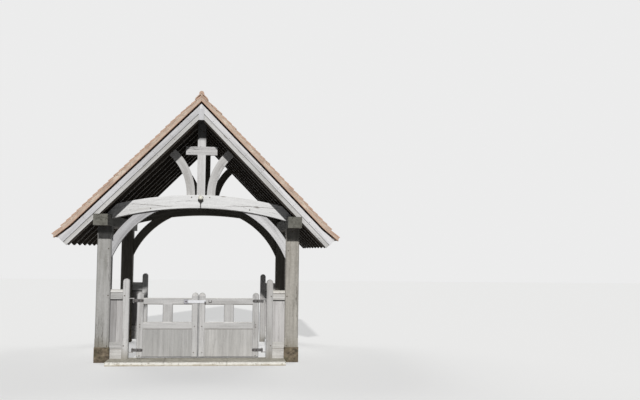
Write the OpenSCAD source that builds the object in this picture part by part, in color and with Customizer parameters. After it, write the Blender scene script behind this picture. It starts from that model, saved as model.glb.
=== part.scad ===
// Timber lychgate: four posts on stone pads carry a tiled gable roof over a pair of framed gates.
// Millimetres. X runs to the right seen from the road, Y runs in through the gate, Z is up.
// The origin is on the ground at the middle of the plan.

/* [Main frame] */
// Clear width between the main posts
passage_w = 2540; // [2300:10:2900]
// Distance between the centres of the front and rear posts
frame_d = 2560; // [2300:10:2900]
// Side of the square main posts
post = 200; // [180:5:230]
// Height of the stone pads above the ground
pad_h = 220; // [150:10:300]
// How far a pad stands out past its post
pad_proud = 6; // [2:1:12]
// Width of the stopped chamfer on the posts
post_chamfer = 18; // [8:1:26]
// Length of post left square above the pad and below the plate
chamfer_stop = 130; // [90:10:200]
// Height of the underside of the wall plates
plate_z = 1970; // [1900:10:2060]
// Depth of the wall plates
plate_h = 160; // [140:5:180]
// How far the plates run out past the posts
plate_reach = 415; // [380:5:460]

/* [Trusses] */
// How far the underside of the tie beams at mid span rises above the underside of the plates
tie_rise = 286; // [260:2:320]
// Depth of the tie beams
tie_h = 192; // [160:4:210]
// Thickness of the tie beams
tie_t = 180; // [110:5:190]
// Radius of the camber on the underside of the tie beams
tie_r = 4800; // [4400:50:5400]
// How far the centre of the arch that the braces follow lies below the plates
arch_drop = 995; // [960:5:1040]
// How much the inner radius of the arch braces is larger than half the clear width
arch_over = 112; // [90:2:130]
// Width of the arch braces
brace_w = 135; // [110:5:150]
// Thickness of the arch braces
brace_t = 90; // [60:5:110]
// Width and thickness of the king posts
king = 120; // [90:5:140]
// Gap between a king post and the foot of its strut
strut_gap = 28; // [10:2:50]
// Width of the curved king struts
strut_w = 122; // [90:2:140]
// Thickness of the curved king struts
strut_t = 90; // [60:5:110]
// Radius of the outer, convex edge of the king struts
strut_r = 918; // [860:2:980]
// How far the middle of the cross arm lies below the point of the gable
arm_drop = 627; // [580:1:670]
// Length of the cross arm
arm_l = 460; // [380:10:500]
// Depth of the cross arm
arm_h = 124; // [90:2:140]

/* [Roof] */
// How far the underside of the rafters passes below the outer top edge of the plates
seat_drop = 98; // [80:1:120]
// Pitch of the roof
roof_pitch = 45.4; // [44.4:0.1:46.4]
// Pitch of the flared foot of the roof
flare_pitch = 39; // [36:0.5:42]
// Distance from the outer face of the plates to the start of the flare
flare_out = 296; // [260:2:320]
// Distance from the outer face of the plates to the lower corner of the bargeboards
foot_out = 364; // [340:2:400]
// Depth of the rafters
rafter_h = 132; // [110:2:150]
// Width of the common rafters
rafter_w = 75; // [50:5:90]
// Width of the principal rafters over the trusses
principal_w = 110; // [80:5:130]
// Number of rafter spaces between the two trusses
rafter_bays = 6; // [4:2:8]
// How far the rafter feet stop short of the bargeboard foot
rafter_short = 15; // [5:1:30]
// Thickness of the roof boarding
board_t = 18; // [12:1:24]
// Width of one roof board
board_w = 150; // [120:5:180]
// Thickness of the tile battens
batten_t = 25; // [19:1:32]
// Width of the tile battens
batten_w = 38; // [32:1:50]
// Play in the sloping joints of the roof, above and below the battens and above the rafters
roof_play = 0.1; // [0.05:0.05:0.5]
// Distance from one tile course to the next
gauge = 100; // [90:2:110]
// Thickness of the tiling between the battens and the heads of the tiles
tile_bed = 63; // [50:1:75]
// Height of the step at each tile tail
tile_step = 14; // [8:1:18]
// How much thicker the tiling lies below its top courses
tile_swell = 20; // [12:1:32]
// Number of courses over which it thins towards the ridge
thin_courses = 3; // [2:1:5]
// How far the tile tips run out past the top corner of the bargeboards
tile_over = 88; // [60:2:110]
// How far the tiles run out past the bargeboards
verge = 41; // [25:1:60]
// Thickness of the ridge board
ridge_t = 32; // [25:1:45]
// Depth of the ridge board
ridge_h = 150; // [120:5:180]

/* [Bargeboards and ridge] */
// Width of the bargeboards
barge_w = 134; // [120:2:150]
// Thickness of the bargeboards
barge_t = 26; // [20:1:32]
// Width of the cover board along the top of each bargeboard
cover_w = 74; // [60:2:90]
// Thickness of the cover boards
cover_t = 16; // [10:1:22]
// How far the plate ends stand out past the cover boards
plate_proud = 23; // [10:1:35]
// Width of the key block at the apex
key_w = 80; // [64:2:96]
// Length of the key block at its centre
key_h = 236; // [200:4:270]
// How far the key block stands out past the cover boards
key_proud = 8; // [4:1:14]
// Radius of the roll on the ridge tiles
roll_r = 35; // [28:1:42]
// Thickness of the ridge tiles
ridge_tile_t = 14; // [10:1:18]
// Width of each wing of the ridge tiles, down the slope
wing_w = 125; // [100:5:150]
// Number of ridge tiles
ridge_tiles_n = 8; // [6:1:10]
// Joint between two ridge tiles
ridge_joint = 6; // [3:1:10]

/* [Screens] */
// Height of the step and of the paving above the ground
step_h = 50; // [40:5:80]
// Side of the square round-topped posts
screen_post = 95; // [85:1:110]
// Width of the screens between the main posts and the round-topped posts
screen_w = 175; // [150:5:200]
// Height of the round-topped posts above the step
screen_post_h = 1158; // [1100:2:1220]
// Height of the top of the screens above the step
screen_h = 998; // [940:2:1020]
// Width of the chamfer on the round-topped posts and the screen rails
edge_chamfer = 10; // [6:1:14]
// Thickness of the capping on the screens
cap_t = 40; // [32:1:50]
// Width of the bevel along the top of the capping
cap_bevel = 22; // [12:1:28]
// Depth of the top rail of the screens
screen_rail = 100; // [80:2:120]
// Thickness of the screen rails
screen_t = 84; // [74:2:90]
// How far the upright boards lie back from the face of the screen rails
screen_set = 16; // [14:1:20]
// Thickness of the upright boards in the screens
screen_board_t = 22; // [18:1:24]
// Height of the shadow line between the top rail and the upright boards
shadow_gap = 12; // [6:1:16]
// Depth of the shadow line
rebate = 7; // [3:0.5:8]
// Height of the top of the lower rail of the screens above the step
low_rail_z = 238; // [200:2:260]
// Height of the kick board below the lower rail
kick_h = 134; // [110:2:150]

/* [Gates] */
// Gap between the two leaves
leaf_gap = 6; // [5:0.5:10]
// Gap between the hanging edge of a leaf and its round-topped post
hang_gap = 111; // [105:1:125]
// Distance from the hinge pins to the round-topped posts
pin_off = 60; // [58:1:66]
// Thickness of the leaves
leaf_t = 50; // [42:1:50]
// Clearance under the leaves
leaf_clear = 18; // [10:1:30]
// Height of the top of the stiles above the step
stile_h = 958; // [930:2:980]
// Height of the top of the top rail above the step
rail_z = 878; // [850:2:890]
// Width of the stiles
stile_w = 95; // [85:1:105]
// Depth of the top rail
top_rail = 96; // [80:2:110]
// Height of the top of the middle rail above the step
mid_z = 527; // [500:1:550]
// Depth of the middle rail
mid_rail = 106; // [90:2:120]
// Depth of the bottom rail behind the boards
low_rail = 110; // [90:2:130]
// Width of the muntin between the two openings of a leaf
muntin = 145; // [120:1:160]
// Number of upright boards in each leaf
leaf_boards = 5; // [4:1:6]
// Thickness of the upright boards in the leaves
leaf_board_t = 20; // [16:1:22]
// Width of the chamfer round the leaf frames, and how far the boards lie back from their face
board_set = 12; // [8:1:13]
// Width and depth of the groove between two boards
groove = 5; // [3:0.5:7]

/* [Ironwork] */
// Width of the hinge straps
strap_w = 44; // [34:1:50]
// Thickness of the hinge straps
strap_t = 8; // [6:0.5:9]
// Length of a strap on the leaf
strap_l = 96; // [80:2:180]
// How far the middle of the upper straps lies below the top of the top rail
strap_drop = 38; // [28:1:60]
// Height of the middle of the lower straps above the foot of the leaves
strap_up = 104; // [80:1:140]
// Diameter of the hinge pins
pin_d = 16; // [12:1:18]
// Clearance round a pin in its eye
pin_clear = 0.6; // [0.4:0.1:1.5]
// Running gap where an eye or the latch bar rests
seat_gap = 0.3; // [0.2:0.1:0.8]
// Wall of the eye round the pin
eye_wall = 7; // [5:0.5:8]
// Length of the latch bar from its pivot to its tip
latch_l = 292; // [260:2:380]
// Width of the latch bar
latch_w = 42; // [34:1:46]
// Thickness of the latch bar
latch_t = 8; // [6:0.5:10]
// Distance from the centre line to the pivot of the latch
latch_x = 182; // [170:1:195]
// How far the middle of the latch lies below the top of the top rail
latch_drop = 50; // [46:1:60]
// Width of the plate that the latch pivots on
latch_plate_w = 64; // [54:2:72]
// Height of that plate
latch_plate_h = 62; // [48:2:66]
// Distance from the tip of the latch bar back to the near side of its catch
catch_in = 26; // [24:1:60]
// Width of the catch along the bar
catch_w = 24; // [16:1:30]
// Clearance behind and under the latch bar
latch_clear = 5; // [5:0.5:8]

/* [Step and lamp] */
// Distance from the front post centres to the front of the step
step_out = 445; // [400:5:525]
// Distance from the front post centres to the back of the step
step_in = 70; // [60:5:120]
// Depth of the white nosing stones
nosing = 60; // [40:2:80]
// Width of the joint between two stones
stone_joint = 6; // [4:1:10]
// Depth of the joint between two stones
joint_deep = 8; // [4:1:14]
// Distance of the first joint from the centre line, to the left
joint_left = 460; // [400:5:560]
// Distance of the second joint from the centre line, to the right
joint_right = 431; // [360:5:520]
// Radius of the lamp on the front tie beam
lamp_r = 39; // [30:1:46]
// How far the lamp stands out
lamp_out = 56; // [40:2:70]
// How far the middle of the lamp lies below the top of the tie beam
lamp_drop = 43; // [42:1:70]

/* [Hidden] */
$fn = 64;
ARC_FN = 720;
EPS = 0.01;
BIG = 9000;

// Frame places
inner_x = passage_w / 2;
outer_x = inner_x + post;
post_x = inner_x + post / 2;
truss_y = frame_d / 2;
post_face_y = truss_y + post / 2;
plate_top = plate_z + plate_h;
plate_end = post_face_y + plate_reach;
tie_z = plate_z + tie_rise;
arch_z = plate_z - arch_drop;
arch_r = inner_x + arch_over;

// Roof section: a point is named by its distance down the centre line and its height h
// square to the slope above the top edge of the bargeboards.
p_cos = cos(roof_pitch);
p_sin = sin(roof_pitch);
p_tan = tan(roof_pitch);
f_cos = cos(flare_pitch);
f_sin = sin(flare_pitch);
f_tan = tan(flare_pitch);
apex_z = plate_top - seat_drop + outer_x * p_tan + (board_t + roof_play + rafter_h) / p_cos;
flare_x = outer_x + flare_out;
foot_x = outer_x + foot_out;
function slope_z(x, h) = apex_z + h / p_cos - x * p_tan;
bend_k = 1 + p_sin * f_sin + p_cos * f_cos;
function bend(h) =
    [flare_x + h * (p_sin + f_sin) / bend_k, slope_z(flare_x, 0) + h * (p_cos + f_cos) / bend_k];
function flare_z(x, h) = bend(h)[1] - (x - bend(h)[0]) * f_tan;
function on_flare(x, h) = [x, flare_z(x, h)];

// The foot of the bargeboards is cut square to the main slope, and the rafter feet run parallel to it.
board_low = -board_t;
rafter_top = board_low - roof_play;
rafter_low = rafter_top - rafter_h;
foot_s = [foot_x, slope_z(foot_x, -barge_w)];
function foot_cut(short) = [foot_s[0] - short * p_cos, foot_s[1] + short * p_sin];
// Where the foot cut crosses the flared line at height h
function cut_t(short, h) =
    (flare_z(foot_cut(short)[0], h) - foot_cut(short)[1]) / (p_cos + p_sin * f_tan);
function cut_at(short, h) =
    [foot_cut(short)[0] + cut_t(short, h) * p_sin, foot_cut(short)[1] + cut_t(short, h) * p_cos];
// Where the foot cut crosses the straight line at height h
function cut_low(short, h) =
    [foot_cut(short)[0] + (h + barge_w) * p_sin, foot_cut(short)[1] + (h + barge_w) * p_cos];

// Depths along Y, all measured from the plate ends
cover_face = plate_end - plate_proud;
barge_face = cover_face - cover_t;
barge_back = barge_face - barge_t;
tile_end = cover_face + verge;
batten_end = cover_face - 20;
rafter_pitch_y = frame_d / rafter_bays;
end_rafter_y = barge_back - rafter_w / 2;

// Battens stop at the lower edge of the boarding
board_foot = 12;
tile_low = batten_t;
tile_head = tile_low + tile_bed;
tile_tail = tile_head + tile_step;
tile_x = cut_at(0, 0)[0] + tile_over;
tile_tip = (tile_x - (tile_step + tile_swell) * p_sin) / p_cos;
courses = floor(tile_tip / gauge);
ridge_z = slope_z(0, rafter_top);
ridge_low = ridge_z - ridge_h;
arm_z = apex_z - arm_drop;

// Gate places
gate_post_in = inner_x - screen_w - screen_post;
gate_post_out = gate_post_in + screen_post;
leaf_x = gate_post_in - hang_gap;
pin_x = gate_post_in - pin_off;
strap_hi = rail_z - strap_drop;
strap_lo = leaf_clear + strap_up;
latch_z = rail_z - latch_drop;
leaf_face = truss_y + leaf_t / 2 + strap_t / 2;
leaf_front = leaf_face - strap_t / 2;
leaf_back = leaf_front - leaf_t;
leaf_in = leaf_gap / 2;
leaf_low = step_h + leaf_clear;
eye_r = pin_d / 2 + pin_clear + eye_wall;
mid_open = (leaf_x - leaf_in - 2 * stile_w - muntin) / 2;

// Step places
step_front = -truss_y - step_out;
stone_joints = [-joint_left, joint_right];

oak = "#b9b4ab";
oak_dark = "#6d6357";
board_col = "#8c8378";
clay = "#c78f6b";
stone = "#8f877a";
white = "#ece9e2";
iron = "#2c2a29";
zinc = "#b8babb";

// Helpers: a side is -1 for left or front and 1 for right or rear
module on_side(s) {
    mirror([s < 0 ? 1 : 0, 0, 0]) children();
}
module at_end(s) {
    mirror([0, s > 0 ? 1 : 0, 0]) children();
}
// A flat outline in the X-Z plane given thickness t, with its middle at depth y
module upright(y, t) {
    translate([0, y + t / 2, 0]) rotate([90, 0, 0]) linear_extrude(t) children();
}
module box(x0, x1, y0, y1, z0, z1) {
    translate([x0, y0, z0]) cube([x1 - x0, y1 - y0, z1 - z0]);
}

// Stone pads under the posts
module padstones() {
    color(stone) pads();
}
module pads() {
    side = post + 2 * pad_proud;
    for (sx = [-1, 1], sy = [-1, 1])
        translate([sx * post_x, sy * truss_y, pad_h / 2]) cube([side, side, pad_h], center = true);
}

// Square oak post with a stopped chamfer on each arris
module main_post(sx, sy) {
    color(oak) translate([sx * post_x, sy * truss_y, 0]) difference() {
        box(-post / 2, post / 2, -post / 2, post / 2, pad_h, plate_z);
        for (a = [0:90:270]) rotate([0, 0, a]) translate([post / 2, post / 2, pad_h + chamfer_stop])
            rotate([0, 0, 45]) translate([-post_chamfer / sqrt(2), -post, 0])
                cube([post, 2 * post, plate_z - pad_h - 2 * chamfer_stop]);
    }
}

// Plate along the heads of the front and rear posts, running out to the gables
module wall_plate(s) {
    color(oak) on_side(s) box(inner_x, outer_x, -plate_end, plate_end, plate_z, plate_top);
}
module plate_bite() {
    for (s = [-1, 1]) on_side(s) translate([inner_x, plate_z - BIG]) square([post, BIG + plate_h]);
}

// Everything below the two slopes at height h
module under_slopes(h) {
    polygon([[0, slope_z(0, h)], [-BIG, slope_z(BIG, h)], [BIG, slope_z(BIG, h)]]);
}
module tie_outline() {
    intersection() {
        difference() {
            translate([0, tie_z - tie_r]) circle(tie_r + tie_h, $fn = ARC_FN);
            translate([0, tie_z - tie_r]) circle(tie_r, $fn = ARC_FN);
        }
        under_slopes(rafter_low - roof_play);
        translate([-outer_x, plate_z]) square([2 * outer_x, BIG]);
    }
}
module below_tie() {
    translate([0, tie_z - tie_r]) circle(tie_r, $fn = ARC_FN);
}
module above_tie() {
    difference() {
        translate([-BIG / 2, tie_z]) square([BIG, BIG]);
        translate([0, tie_z - tie_r]) circle(tie_r + tie_h, $fn = ARC_FN);
    }
}
module tie_beam(sy) {
    color(oak) upright(sy * truss_y, tie_t) difference() {
        tie_outline();
        plate_bite();
    }
}

// Two braces on one circle make the arch between post and tie beam
module arch_braces(sy) {
    color(oak) upright(sy * truss_y, brace_t) intersection() {
        difference() {
            translate([0, arch_z]) circle(arch_r + brace_w, $fn = ARC_FN);
            translate([0, arch_z]) circle(arch_r, $fn = ARC_FN);
        }
        below_tie();
        translate([-inner_x, arch_z]) square([2 * inner_x, BIG]);
    }
}

// King post from the tie beam to the ridge board
module king_post(sy) {
    color(oak) difference() {
        upright(sy * truss_y, king) intersection() {
            above_tie();
            translate([-king / 2, tie_z]) square([king, ridge_low - tie_z]);
        }
        if (sy < 0) arm_shape();
    }
}
module arm_shape() {
    box(-arm_l / 2, arm_l / 2, -truss_y - king / 2, -truss_y, arm_z - arm_h / 2, arm_z + arm_h / 2);
}
// Cross arm halved into the front king post
module cross_arm() {
    color(oak) arm_shape();
}

// Curved struts rise beside the king post and bend out to the principal rafters
module king_struts(sy) {
    strut_c = king / 2 + strut_gap + strut_r;
    color(oak) upright(sy * truss_y, strut_t) intersection() {
        for (s = [-1, 1]) translate([s * strut_c, tie_z + tie_h]) difference() {
            circle(strut_r, $fn = ARC_FN);
            circle(strut_r - strut_w, $fn = ARC_FN);
        }
        above_tie();
        under_slopes(rafter_low - roof_play);
        translate([-strut_c, tie_z]) square([2 * strut_c, BIG]);
    }
}

// One rafter from the ridge board to its square-cut foot, notched over the plate
module rafter_outline() {
    difference() {
        polygon([[ridge_t / 2, slope_z(ridge_t / 2, rafter_top)], bend(rafter_top),
            cut_at(rafter_short, rafter_top), cut_low(rafter_short, rafter_low),
            [ridge_t / 2, slope_z(ridge_t / 2, rafter_low)]]);
        plate_bite();
    }
}
module principal_rafters() {
    color(oak_dark) difference() {
        for (s = [-1, 1], sy = [-1, 1]) on_side(s) upright(sy * truss_y, principal_w) rafter_outline();
        box(-king / 2, king / 2, -BIG, BIG, 0, ridge_low);
    }
}
module common_rafters() {
    half = rafter_bays / 2;
    color(oak_dark) for (s = [-1, 1]) on_side(s) {
        for (i = [1 - half:half - 1]) upright(i * rafter_pitch_y, rafter_w) rafter_outline();
        for (e = [-1, 1]) upright(e * end_rafter_y, rafter_w) rafter_outline();
    }
}
module ridge_board() {
    color(oak_dark) box(-ridge_t / 2, ridge_t / 2, -barge_back, barge_back, ridge_low,
        slope_z(ridge_t / 2, rafter_top));
}

// Boarding on the rafters, grooved at each joint, bent at the flare
module board_outline() {
    polygon([[0, slope_z(0, board_low)], [0, slope_z(0, 0)], bend(0), cut_at(board_foot, 0),
        cut_at(board_foot, board_low), bend(board_low)]);
}
module roof_boards(s) {
    rows = floor(flare_x / p_cos / board_w);
    vee = board_t / 5;
    color(board_col) on_side(s) upright(0, 2 * barge_back) difference() {
        board_outline();
        for (i = [1:rows]) translate([i * board_w * p_cos, slope_z(i * board_w * p_cos, board_low)])
            rotate(-roof_pitch) polygon([[-2 * vee, -vee], [2 * vee, -vee], [0, vee]]);
    }
}

// Tile battens, one for each course, on the boarding
module battens() {
    color(oak_dark) for (s = [-1, 1]) on_side(s) upright(0, 2 * batten_end) {
        for (i = [1:courses]) batten_at(i * gauge);
    }
}
module batten_at(d) {
    flare_d = flare_x / p_cos;
    foot_d = flare_d + (cut_at(board_foot, 0)[0] - flare_x) / f_cos;
    if (d < flare_d - batten_w) translate([d * p_cos, slope_z(d * p_cos, 0)])
        rotate(-roof_pitch) batten_end_grain();
    else if (d > flare_d && d < foot_d - batten_w)
        translate(on_flare(flare_x + (d - flare_d) * f_cos, 0))
            rotate(-flare_pitch) batten_end_grain();
}
module batten_end_grain() {
    translate([0, roof_play]) square([batten_w, batten_t - 2 * roof_play]);
}

// Plain tiling: a straight stepped top, an underside that flares over the eaves
module tile_outline() {
    top = [for (i = [0:courses], k = [0, 1])
        let (d = min((i + k) * gauge - k * EPS, tile_tip),
            rise = k * tile_step + tile_swell * min(1, i / thin_courses))
        [d * p_cos + rise * p_sin, slope_z(0, tile_head) - d * p_sin + rise * p_cos]];
    foot = [on_flare(tile_x - tile_low * f_sin, tile_low), bend(tile_low)];
    polygon(concat([[0, slope_z(0, tile_low)]], top, foot));
}
module tiles(s) {
    color(clay) on_side(s) upright(0, 2 * tile_end) intersection() {
        tile_outline();
        square([tile_x + tile_step, BIG]);
    }
}

// Ridge tiles with a roll along the crest
module ridge_outline() {
    zt = slope_z(0, tile_tail);
    wx = wing_w * p_cos;
    wz = wing_w * p_sin;
    t = ridge_tile_t / p_cos;
    union() {
        polygon([[0, zt], [-wx, zt - wz], [-wx, zt - wz + t], [0, zt + t], [wx, zt - wz + t], [wx, zt - wz]]);
        translate([0, zt]) circle(roll_r);
    }
}
module ridge_tiles() {
    run = 2 * tile_end / ridge_tiles_n;
    color(clay) for (i = [0:ridge_tiles_n - 1])
        upright(-tile_end + (i + 0.5) * run, run - ridge_joint)
            difference() {
                ridge_outline();
                under_slopes(tile_tail);
            }
}

// Bargeboards, notched round the plate ends, with a cover board along the top edge
module barge_outline(low) {
    polygon([[0, slope_z(0, 0)], bend(0), cut_at(0, 0), cut_low(0, low), [0, slope_z(0, low)]]);
}
module bargeboard(sx, sy) {
    color(white) on_side(sx) upright(sy * (barge_face - barge_t / 2), barge_t) difference() {
        barge_outline(-barge_w);
        plate_bite();
    }
}
module barge_covers() {
    mid = cover_face - cover_t / 2;
    color(white) for (s = [-1, 1], e = [-1, 1]) on_side(s) upright(e * mid, cover_t) difference() {
        barge_outline(-cover_w);
        square([key_w / 2, BIG]);
        plate_bite();
    }
}
module barge_keys() {
    t = cover_t + key_proud;
    color(white) for (s = [-1, 1]) upright(s * (barge_face + t / 2), t) intersection() {
        under_slopes(0);
        translate([-key_w / 2, apex_z - key_h]) square([key_w, BIG]);
    }
}

// Section w by h with a chamfer c on its corners
module chamfered(w, h, c) {
    polygon([[-w / 2, c - h / 2], [c - w / 2, -h / 2], [w / 2 - c, -h / 2], [w / 2, c - h / 2],
        [w / 2, h / 2 - c], [w / 2 - c, h / 2], [c - w / 2, h / 2], [-w / 2, h / 2 - c]]);
}
// A bar along X from a section in the Y-Z plane
module along(x0, x1, y, z) {
    translate([x0, y, z]) rotate([90, 0, 90]) linear_extrude(x1 - x0) children();
}
// Upright w wide and t deep with a half-round head, chamfered by c all round
module round_head(x0, y, w, t, z0, z1, c) {
    translate([x0 + w / 2, y, z0]) linear_extrude(z1 - w / 2 - z0) chamfered(w, t, c);
    translate([x0 + w / 2, y, z1 - w / 2]) rotate([90, 0, 0]) rotate_extrude()
        polygon([[0, -t / 2], [w / 2 - c, -t / 2], [w / 2, c - t / 2], [w / 2, t / 2 - c],
            [w / 2 - c, t / 2], [0, t / 2]]);
}
module screen_posts() {
    color(oak) for (s = [-1, 1], e = [-1, 1]) on_side(s)
        round_head(gate_post_in, e * truss_y, screen_post, screen_post, e < 0 ? step_h : 0,
            step_h + screen_post_h, edge_chamfer);
}
// Capping, top rail, lower rail and kick board between main post and round-topped post
module screen_rails() {
    top = step_h + screen_h;
    low = step_h + low_rail_z;
    color(oak) difference() {
        for (s = [-1, 1], sy = [-1, 1]) on_side(s) {
            along(gate_post_out, inner_x, sy * truss_y, top - cap_t) capping_end();
            along(gate_post_out, inner_x, sy * truss_y, top - cap_t - screen_rail) top_rail_end();
            span_rail(sy, step_h + kick_h, low);
            span_box(sy * truss_y, screen_t - 2 * edge_chamfer, step_h, step_h + kick_h + EPS);
        }
        pads();
    }
}
module capping_end() {
    half = screen_post / 2 + 4;
    polygon([[-half, 0], [half, 0], [half, cap_t - cap_bevel], [half - cap_bevel, cap_t],
        [cap_bevel - half, cap_t], [-half, cap_t - cap_bevel]]);
}
module top_rail_end() {
    half = screen_t / 2;
    head = screen_rail + EPS;
    polygon([[-half, 0], [half, 0], [half, head - edge_chamfer], [half - edge_chamfer, head],
        [edge_chamfer - half, head], [-half, head - edge_chamfer]]);
}
module span_rail(sy, z0, z1) {
    along(gate_post_out, inner_x, sy * truss_y, (z0 + z1) / 2) chamfered(screen_t, z1 - z0, edge_chamfer);
}
module span_box(y, t, z0, z1) {
    box(gate_post_out, inner_x, y - t / 2, y + t / 2, z0, z1);
}
// Two upright boards a side, housed between the rails
module screen_boards() {
    z0 = step_h + low_rail_z;
    z1 = step_h + screen_h - cap_t - screen_rail;
    mid = (gate_post_out + inner_x) / 2;
    board_y = truss_y + screen_t / 2 - screen_set - screen_board_t / 2;
    color(oak) for (s = [-1, 1], sy = [-1, 1]) on_side(s) difference() {
        span_box(sy * board_y, screen_board_t, z0, z1);
        for (f = [-1, 1]) translate([0, sy * board_y + f * screen_board_t / 2, 0]) {
            translate([mid, 0, 0]) rotate([0, 0, 45]) cube([groove, groove, BIG], center = true);
            box(0, BIG, -rebate, rebate, z1 - shadow_gap, z1 + 1);
        }
    }
}

// Step under the gates: a tread with a white nosing, each with two pointed joints
module stones(y0, y1) {
    difference() {
        box(-inner_x, inner_x, y0, y1, 0, step_h);
        for (x = stone_joints) {
            translate([x, 0, step_h]) cube([stone_joint, BIG, 2 * joint_deep], center = true);
            translate([x, y0, 0]) cube([stone_joint, 2 * joint_deep, BIG], center = true);
        }
    }
}
module threshold() {
    color(stone) difference() {
        stones(step_front + nosing, -truss_y + step_in);
        pads();
    }
}
module step_nosing() {
    color(white) stones(step_front, step_front + nosing);
}

// Gate leaf: stiles with round heads, three rails and a muntin, chamfered front and back
module gate_frame(s) {
    back_t = leaf_t - board_set - leaf_board_t;
    mid_y = -(leaf_front + leaf_back) / 2;
    x0 = leaf_in + stile_w / 2;
    x1 = leaf_x - stile_w / 2;
    rail_mid = step_h + rail_z - top_rail / 2;
    low_mid = step_h + mid_z - mid_rail / 2;
    color(oak) on_side(s) {
        for (x = [leaf_in, leaf_x - stile_w])
            round_head(x, mid_y, stile_w, leaf_t, leaf_low, step_h + stile_h, board_set);
        along(x0, x1, mid_y, rail_mid) chamfered(leaf_t, top_rail, board_set);
        along(x0, x1, mid_y, low_mid) chamfered(leaf_t, mid_rail, board_set);
        translate([leaf_in + stile_w + mid_open + muntin / 2, mid_y, low_mid])
            linear_extrude(rail_mid - low_mid) chamfered(muntin, leaf_t, board_set);
        box(x0, x1, -leaf_back - back_t, -leaf_back, leaf_low, leaf_low + low_rail);
    }
}
module gate_boards(s) {
    w = leaf_x - leaf_in - 2 * stile_w;
    x0 = leaf_in + stile_w;
    face = -leaf_front + board_set;
    color(board_col) on_side(s) difference() {
        box(x0, x0 + w, face, face + leaf_board_t, leaf_low, step_h + mid_z - mid_rail);
        for (i = [1:leaf_boards - 1], f = [0, 1])
            translate([x0 + i * w / leaf_boards, face + f * leaf_board_t, 0])
                rotate([0, 0, 45]) cube([groove, groove, BIG], center = true);
    }
}

// Hinge straps with rolled eyes, on the front of the hanging stile
module strap(z) {
    x0 = leaf_x - strap_l + strap_w / 2;
    translate([0, -leaf_face, z]) difference() {
        union() {
            box(x0, pin_x, -strap_t / 2, strap_t / 2, -strap_w / 2, strap_w / 2);
            translate([x0, strap_t / 2, 0]) rotate([90, 0, 0]) cylinder(d = strap_w, h = strap_t);
            translate([pin_x, 0, -strap_w / 2]) cylinder(r = eye_r, h = strap_w);
        }
        translate([pin_x, 0, -strap_w]) cylinder(d = pin_d + 2 * pin_clear, h = 2 * strap_w);
    }
}
module gate_irons(s) {
    color(iron) on_side(s) {
        for (h = [strap_lo, strap_hi]) strap(step_h + h);
    }
    color(iron) if (s < 0) latch_plate(); else latch_catch();
}

// Pins with an arm into the round-topped posts: the lower ones stand up, the upper ones hang down
module hook(z, hangs) {
    arm = pin_d;
    low = -strap_w / 2 - seat_gap - arm;
    translate([pin_x, -leaf_face, z]) mirror([0, 0, hangs ? 1 : 0]) {
        translate([0, 0, low]) cylinder(d = pin_d, h = strap_w + arm + 12);
        translate([0, 0, low + arm / 2]) rotate([0, 90, 0]) cylinder(d = arm - 2, h = gate_post_in - pin_x);
        translate([0, 0, low]) cylinder(d = pin_d + 8, h = arm);
    }
}
module hinge_hooks() {
    color(iron) for (s = [-1, 1]) on_side(s) {
        hook(step_h + strap_lo, false);
        hook(step_h + strap_hi, true);
    }
}

// Throw-over latch: a plate and pivot on the left leaf, a bar, and a catch on the right leaf
latch_y = -leaf_front - latch_clear - latch_t / 2;
latch_tip = latch_l - latch_x;
module latch_plate() {
    z = step_h + latch_z;
    w = latch_plate_w / 2;
    h = latch_plate_h / 2;
    box(-latch_x - w, -latch_x + w, -leaf_front - latch_clear + 1, -leaf_front, z - h, z + h);
    translate([-latch_x, -leaf_front, z]) rotate([90, 0, 0])
        cylinder(d = 14, h = latch_clear + latch_t + 6);
    translate([-latch_x, -leaf_front - latch_clear - latch_t - 2, z]) rotate([90, 0, 0])
        cylinder(d = 24, h = 5);
}
module latch_bar() {
    z = step_h + latch_z;
    color(zinc) difference() {
        union() {
            box(-latch_x, latch_tip - latch_w / 2, latch_y - latch_t / 2, latch_y + latch_t / 2,
                z - latch_w / 2, z + latch_w / 2);
            for (x = [-latch_x, latch_tip - latch_w / 2]) translate([x, latch_y + latch_t / 2, z])
                rotate([90, 0, 0]) cylinder(d = latch_w, h = latch_t);
        }
        translate([-latch_x, 0, z]) rotate([90, 0, 0]) cylinder(d = 14 + 2 * pin_clear, h = BIG);
    }
}
// Catch with a lip in front of the bar and a seat below it
module latch_catch() {
    z = step_h + latch_z - latch_w / 2 - seat_gap;
    y = -leaf_front;
    x0 = latch_tip - catch_in;
    box(x0, x0 + catch_w, y - 2 * latch_clear - latch_t - 6, y, z - 10, z);
    box(x0, x0 + catch_w, y - 2 * latch_clear - latch_t - 6, y - 2 * latch_clear - latch_t, z - 10, z + 24);
}

// Small round lamp on the front tie beam
module lamp() {
    z = tie_z + tie_h - lamp_drop;
    color(white) translate([0, -truss_y - tie_t / 2, z]) rotate([90, 0, 0]) union() {
        cylinder(r = lamp_r * 0.8, h = 14);
        translate([0, 0, lamp_out - lamp_r]) rotate_extrude() intersection() {
            circle(lamp_r);
            translate([0, -(lamp_out - lamp_r)]) square([lamp_r, BIG]);
        }
    }
}

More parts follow.
